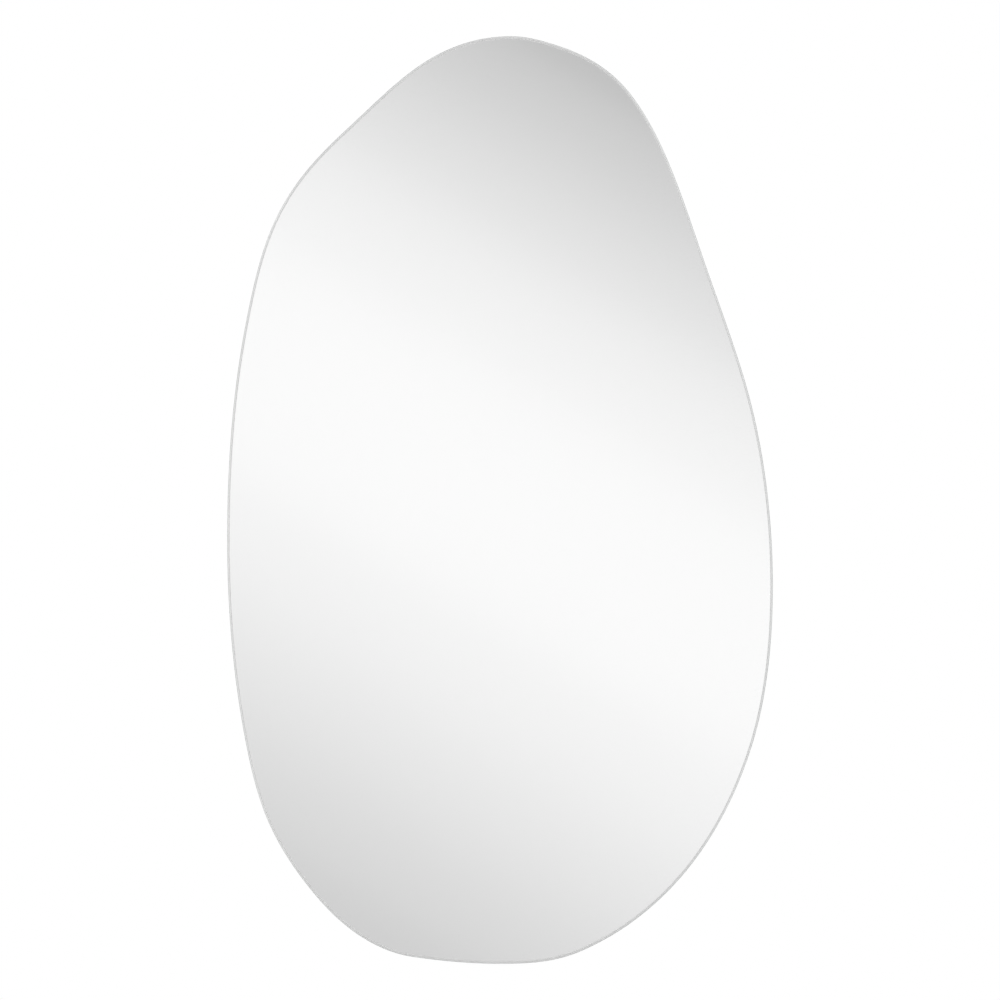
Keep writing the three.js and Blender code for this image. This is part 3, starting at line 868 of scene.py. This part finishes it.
# %% Fold, trim and drill a strap
# a little more than half the width, so that the cut crosses the sides and doesn't graze them
END_RADIUS = STRAP_WIDTH / 2 + 0.05 * MM
END_STEPS = 40
STRAP_HOLE_RADIUS = 2.1 * MM


def trim_line(x):
    """The outline (x, z) that the strap is trimmed to, wide of it except round the lower end."""
    centre = PIVOT_Z + END_RADIUS - STRAP_LENGTH
    turns = [math.pi * (1 + step / END_STEPS) for step in range(END_STEPS + 1)]
    line = [
        Vector((x + END_RADIUS * math.cos(turn), centre + END_RADIUS * math.sin(turn))) for turn in turns
    ]
    line[0].x -= CLEAR
    line[-1].x += CLEAR
    return line + [Vector((line[-1].x, 0)), Vector((line[0].x, 0))]


def strap_mesh(side, x):
    half = STRAP_WIDTH / 2
    rings = [
        [Vector((edge, PIVOT_Y + depth, PIVOT_Z + height)) for depth, height in fold_line()]
        for edge in (x - half, x + half)
    ]
    folded = skinned(f"strap_{side}", rings)
    trimmer = skinned("trimmer", [flat_loop(trim_line(x), y) for y in (board_high.y - CLEAR, CLEAR)])
    trimmed = worked(folded, [trimmer], "INTERSECT")
    holes = [
        upright_drill(x, spot.z, STRAP_HOLE_RADIUS, board_high.y - CLEAR, CLEAR)
        for name, spot in SCREW_PLACES.items() if side in name
    ]
    return worked(trimmed, holes)


def broken_edges(piece, width):
    """A fine bevel on every sharp edge, shaded so that the flats stay flat."""
    bevel = piece.modifiers.new("broken_edges", "BEVEL")
    bevel.width, bevel.segments, bevel.limit_method = width, 2, "ANGLE"
    bevel.angle_limit = math.radians(40)
    bevel.harden_normals = True


print("strap helper ready")

# %% [markdown]
# The strap is zinc plated. Zinc on rolled steel is bright but not even: faint lines run along the
# strip from rolling, patches differ a little in tone and sheen, and the bends are duller. Metallic
# is 1, and the base colour is the metal's own colour, so all the light on it is reflection.

# %% Finish: zinc on rolled steel
zinc, graph, shader, place = new_finish("zinc_plate", metallic=1.0)
patches = noise(graph, place, 0.22, detail=5.0)
coloured(graph, shader, patches, (0.56, 0.575, 0.60), (0.70, 0.70, 0.69))
rolled = noise(graph, place, 2.2, detail=4.0, stretch=(1, 0.4, 0.03))
dull = graph.math("ADD", graph.math("MULTIPLY", patches, 0.5), graph.math("MULTIPLY", rolled, 0.5))
roughened(graph, shader, dull, (0.3, 0.7), (0.16, 0.36))
bump(graph, shader, rolled, 0.03 * MM)

for side, x in HANGER_X.items():
    mesh = softened(strap_mesh(side, x))
    strap = piece_from(mesh, [zinc], "mirror", "strap_steel", f"hanger_strap_{side}")
    broken_edges(strap, 0.12 * MM)

# %% [markdown]
# ## D-rings
# A ring is one length of 3 mm wire bent to a D: a straight bar through the strap's loop, two tight
# corners, two short legs and a round bow that sits on the wall hook. We walk along its centre line
# and put a circle of points at every step, square to the way the wire runs. A UV map records how
# far along and how far round each point is, because the fine lines of drawn wire follow the wire.
# Each ring rides on a body of its own, so that it swings with its joint.

# %% Centre line of a ring
CORNER = 4 * MM
LEG = 2 * MM
BESIDE_STRAP = 3 * MM  # free on each side of the strap
HALF_WIDTH = STRAP_WIDTH / 2 + BESIDE_STRAP + WIRE_RADIUS
BAR_HALF = HALF_WIDTH - CORNER
BAR_STEPS, CORNER_STEPS, LEG_STEPS, BOW_STEPS = 8, 14, 2, 56


def ring_line():
    """Centre line and direction at each step, about the middle of the bar, as (x, z) pairs."""
    line = []

    def bend(cx, cz, radius, start, end, steps):
        for step in range(steps):
            turn = math.radians(start + (end - start) * step / steps)
            way = Vector((-math.sin(turn), math.cos(turn)))
            line.append((Vector((cx + radius * math.cos(turn), cz + radius * math.sin(turn))), way))

    def straight(x, z, to_x, to_z, steps):
        start, end = Vector((x, z)), Vector((to_x, to_z))
        for step in range(steps):
            line.append((start.lerp(end, step / steps), (end - start).normalized()))

    straight(-BAR_HALF, 0, BAR_HALF, 0, BAR_STEPS)
    bend(BAR_HALF, CORNER, CORNER, -90, 0, CORNER_STEPS)
    straight(HALF_WIDTH, CORNER, HALF_WIDTH, CORNER + LEG, LEG_STEPS)
    bend(0, CORNER + LEG, HALF_WIDTH, 0, 180, BOW_STEPS)
    straight(-HALF_WIDTH, CORNER + LEG, -HALF_WIDTH, CORNER, LEG_STEPS)
    bend(-BAR_HALF, CORNER, CORNER, 180, 270, CORNER_STEPS)
    return line


print("steps round the ring", len(ring_line()))

# %% Wire round the centre line
WIRE_SIDES = 20


def ring_mesh(side, x):
    rings = []
    for middle, way in ring_line():
        out = Vector((way.y, -way.x))
        ring = []
        for step in range(WIRE_SIDES):
            turn = 2 * math.pi * step / WIRE_SIDES
            across_wire = out * (WIRE_RADIUS * math.cos(turn))
            ring.append(
                Vector((
                    x + middle.x + across_wire.x,
                    PIVOT_Y + WIRE_RADIUS * math.sin(turn),
                    PIVOT_Z + middle.y + across_wire.y,
                ))
            )
        rings.append(ring)
    mesh = skinned(f"d_ring_{side}", rings, closed=True)
    mesh.shade_smooth()
    return mesh


def lay_wire_map(mesh, stations):
    """UV: along the wire in U, round it in V, from the order in which the points were made."""
    layer = mesh.uv_layers.new(name="wire")
    for face in mesh.polygons:
        spots = [divmod(vertex, WIRE_SIDES) for vertex in face.vertices]
        wraps = [max(values) - min(values) for values in zip(*spots)]
        for loop, (along, around) in zip(face.loop_indices, spots):
            along += stations if wraps[0] > 1 and along == 0 else 0
            around += WIRE_SIDES if wraps[1] > 1 and around == 0 else 0
            layer.data[loop].uv = (along / stations, around / WIRE_SIDES)


print("wire helper ready")

# %% Finish: nickel on drawn wire
nickel, graph, shader, place = new_finish("nickel_wire", metallic=1.0)
wire_map = graph.add("ShaderNodeUVMap", uv_map="wire").outputs[0]
drawn = graph.add("ShaderNodeMapping", fill={"Vector": wire_map, "Scale": (6, 90, 1)}).outputs[0]
fine = {"Vector": drawn, "Scale": 1.0, "Detail": 4.0}
draw_lines = graph.add("ShaderNodeTexNoise", fill=fine).outputs[0]
tarnish = noise(graph, place, 0.3, detail=5.0)
coloured(graph, shader, tarnish, (0.64, 0.62, 0.585), (0.76, 0.745, 0.72))
roughened(graph, shader, draw_lines, (0.3, 0.7), (0.13, 0.30))
bump(graph, shader, draw_lines, 0.01 * MM)

for side, x in HANGER_X.items():
    wire = ring_mesh(side, x)
    lay_wire_map(wire, len(ring_line()))
    piece_from(wire, [nickel], f"ring_{side}", "ring_wire", f"hanger_ring_{side}")

# %% [markdown]
# ## Screws
# Two pan-head screws hold each strap. Only the heads show, but a screw without a thread is just a
# nail, so the shank carries a real one: the radius of each point depends on how far along and how
# far round it is, and that difference winds a ridge down the shank. The head is turned from a
# profile, and a tapered cross is cut into its dome for the driver.

# %% Thread and head of a screw
AROUND = 48
ROWS = 90  # along the shank
PITCH = 1.4 * MM
ROOT, CREST, HEAD = 1.2 * MM, 1.75 * MM, 3.5 * MM  # radii
RIDGE = 0.24  # half the width of the thread's foot, as a share of the pitch
NECK, RUN_OUT = 1.6 * MM, 0.6 * MM  # plain under the head, and the length in which the thread starts
POINT = 2.5 * MM  # length of the tapered end
RIM, DOME = 0.6 * MM, 1.6 * MM  # heights of the head's side and of its dome
RIM_ROUND = 0.15 * MM
DOME_STEPS = 16
STRAP_FACE = PIVOT_Y - 0.6 * MM


def shank_radius(y, turn, tip):
    """Radius of the shank at a depth and an angle, with its thread and point."""
    phase = (y / PITCH - turn / (2 * math.pi)) % 1.0
    ridge = max(0.0, 1 - abs(phase - 0.5) / RIDGE)
    threaded = min(1.0, max(0.0, (STRAP_FACE - NECK - y) / RUN_OUT))
    pointed = min(1.0, max(0.0, (y - tip) / POINT)) ** 0.7
    return pointed * (ROOT + (CREST - ROOT) * ridge * threaded + (1 - threaded) * (CREST - ROOT) * 0.5)


def head_profile():
    """(radius, depth) from under the head to near the middle of its dome."""
    under = [(HEAD - RIM_ROUND, STRAP_FACE), (HEAD, STRAP_FACE + RIM_ROUND)]
    turns = [math.radians(90 * step / DOME_STEPS) for step in range(DOME_STEPS)]
    return under + [(HEAD * math.cos(turn), STRAP_FACE + RIM + DOME * math.sin(turn)) for turn in turns]


print("head points", len(head_profile()))

# %% Make a screw
def screw_mesh(name, spot, tip):
    # half a step on, so that no edge of the dome lies right under a corner of the driver's cross
    turns = [2 * math.pi * (step + 0.5) / AROUND for step in range(AROUND)]
    rings = []
    for row in range(1, ROWS + 1):
        y = tip + (STRAP_FACE - tip) * row / ROWS
        rings.append(turned_ring(spot, y, [shank_radius(y, turn, tip) for turn in turns], turns))
    for radius, y in head_profile():
        rings.append(turned_ring(spot, y, [radius] * AROUND, turns))
    return skinned(name, rings)


# height over the dome's top, reach of the arms and half their width
CROSS_MOUTH = (1 * MM, 2.65 * MM, 0.56 * MM)
CROSS_FLOOR = (-1.8 * MM, 0.7 * MM, 0.28 * MM)


def cross_tool(spot, top):
    """A tapered cross that points into the head."""
    rings = []
    for height, reach, half in (CROSS_MOUTH, CROSS_FLOOR):
        arms = []
        for quarter in range(4):
            turn = Matrix.Rotation(math.radians(90 * quarter), 2)
            arms += [turn @ Vector(p) for p in ((reach, -half), (reach, half), (half, half))]
        rings.append([Vector((spot.x + p.x, top + height, spot.z + p.y)) for p in arms])
    return skinned("cross", rings)


print("screw helper ready")

# %% Finish: plated screw steel, and the four screws
screw_steel, graph, shader, place = new_finish("screw_plate", metallic=1.0)
stain = noise(graph, place, 0.5, detail=5.0)
coloured(graph, shader, stain, (0.50, 0.505, 0.52), (0.68, 0.675, 0.665))
pressed = noise(graph, place, 2.5, detail=3.0)
roughened(graph, shader, pressed, (0.3, 0.7), (0.16, 0.30))
bump(graph, shader, pressed, 0.008 * MM)

for name, spot in SCREW_PLACES.items():
    low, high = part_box(name)
    blank = screw_mesh(name.replace("hanger_", ""), spot, low.y)
    mesh = softened(worked(blank, [cross_tool(spot, high.y)]), 40)
    piece_from(mesh, [screw_steel], "mirror", "screw_steel", name)

# %% [markdown]
# ## Rubber bumpers
# Four bumpers hold the mirror off the wall and level. They are moulded in soft black rubber: round,
# a little narrower towards the wall, with a shallow ring groove in the face that grips. A lathe
# makes such shapes, so the profile is drawn once and turned round its axis in sixty-four steps.

# %% Turn a bumper
BUMPER_SIDES = 64


def turned_mesh(name, profile, spot):
    """A profile of (radius, depth) turned round an axis square to the wall."""
    turns = [2 * math.pi * step / BUMPER_SIDES for step in range(BUMPER_SIDES)]
    return skinned(name, [turned_ring(spot, y, [r] * BUMPER_SIDES, turns) for r, y in profile])


BUMPER_TAPER = 1.2 * MM  # radius lost towards the wall
GROOVE = 0.45 * MM  # depth of the ring groove


def bumper_profile(low, high):
    """(radius, depth) from the board, over the foot and up the side, to the middle of the face."""
    base = (high.x - low.x) / 2
    return [
        (2 * MM, low.y), (base, low.y), (base, low.y + 0.8 * MM), (base - 0.35 * MM, low.y + 1.0 * MM),
        (base - BUMPER_TAPER, high.y), (6.4 * MM, high.y), (6.0 * MM, high.y - GROOVE),
        (4.6 * MM, high.y - GROOVE), (4.2 * MM, high.y), (1 * MM, high.y),
    ]


print("bumper helper ready")

# %% Finish: black rubber, and the four bumpers
rubber, graph, shader, place = new_finish("moulded_rubber", specular_ior_level=0.4)
bloom = noise(graph, place, 0.12, detail=6.0, roughness=0.65)
dusty = graph.ranged(bloom, 0.4, 0.8)
coloured(graph, shader, dusty, (0.040, 0.040, 0.041), (0.095, 0.094, 0.091))
mould = noise(graph, place, 3.0, detail=3.0)
roughened(graph, shader, mould, (0.3, 0.7), (0.34, 0.48))
bump(graph, shader, mould, 0.03 * MM)

for corner in ("upper_left", "upper_right", "lower_left", "lower_right"):
    node = f"wall_bumper_{corner}"
    low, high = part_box(node)
    profile = rounded(bumper_profile(low, high), 0.3 * MM, 3)
    mesh = softened(turned_mesh(f"bumper_{corner}", profile, (low + high) / 2), 40)
    piece_from(mesh, [rubber], "mirror", "rubber", node)
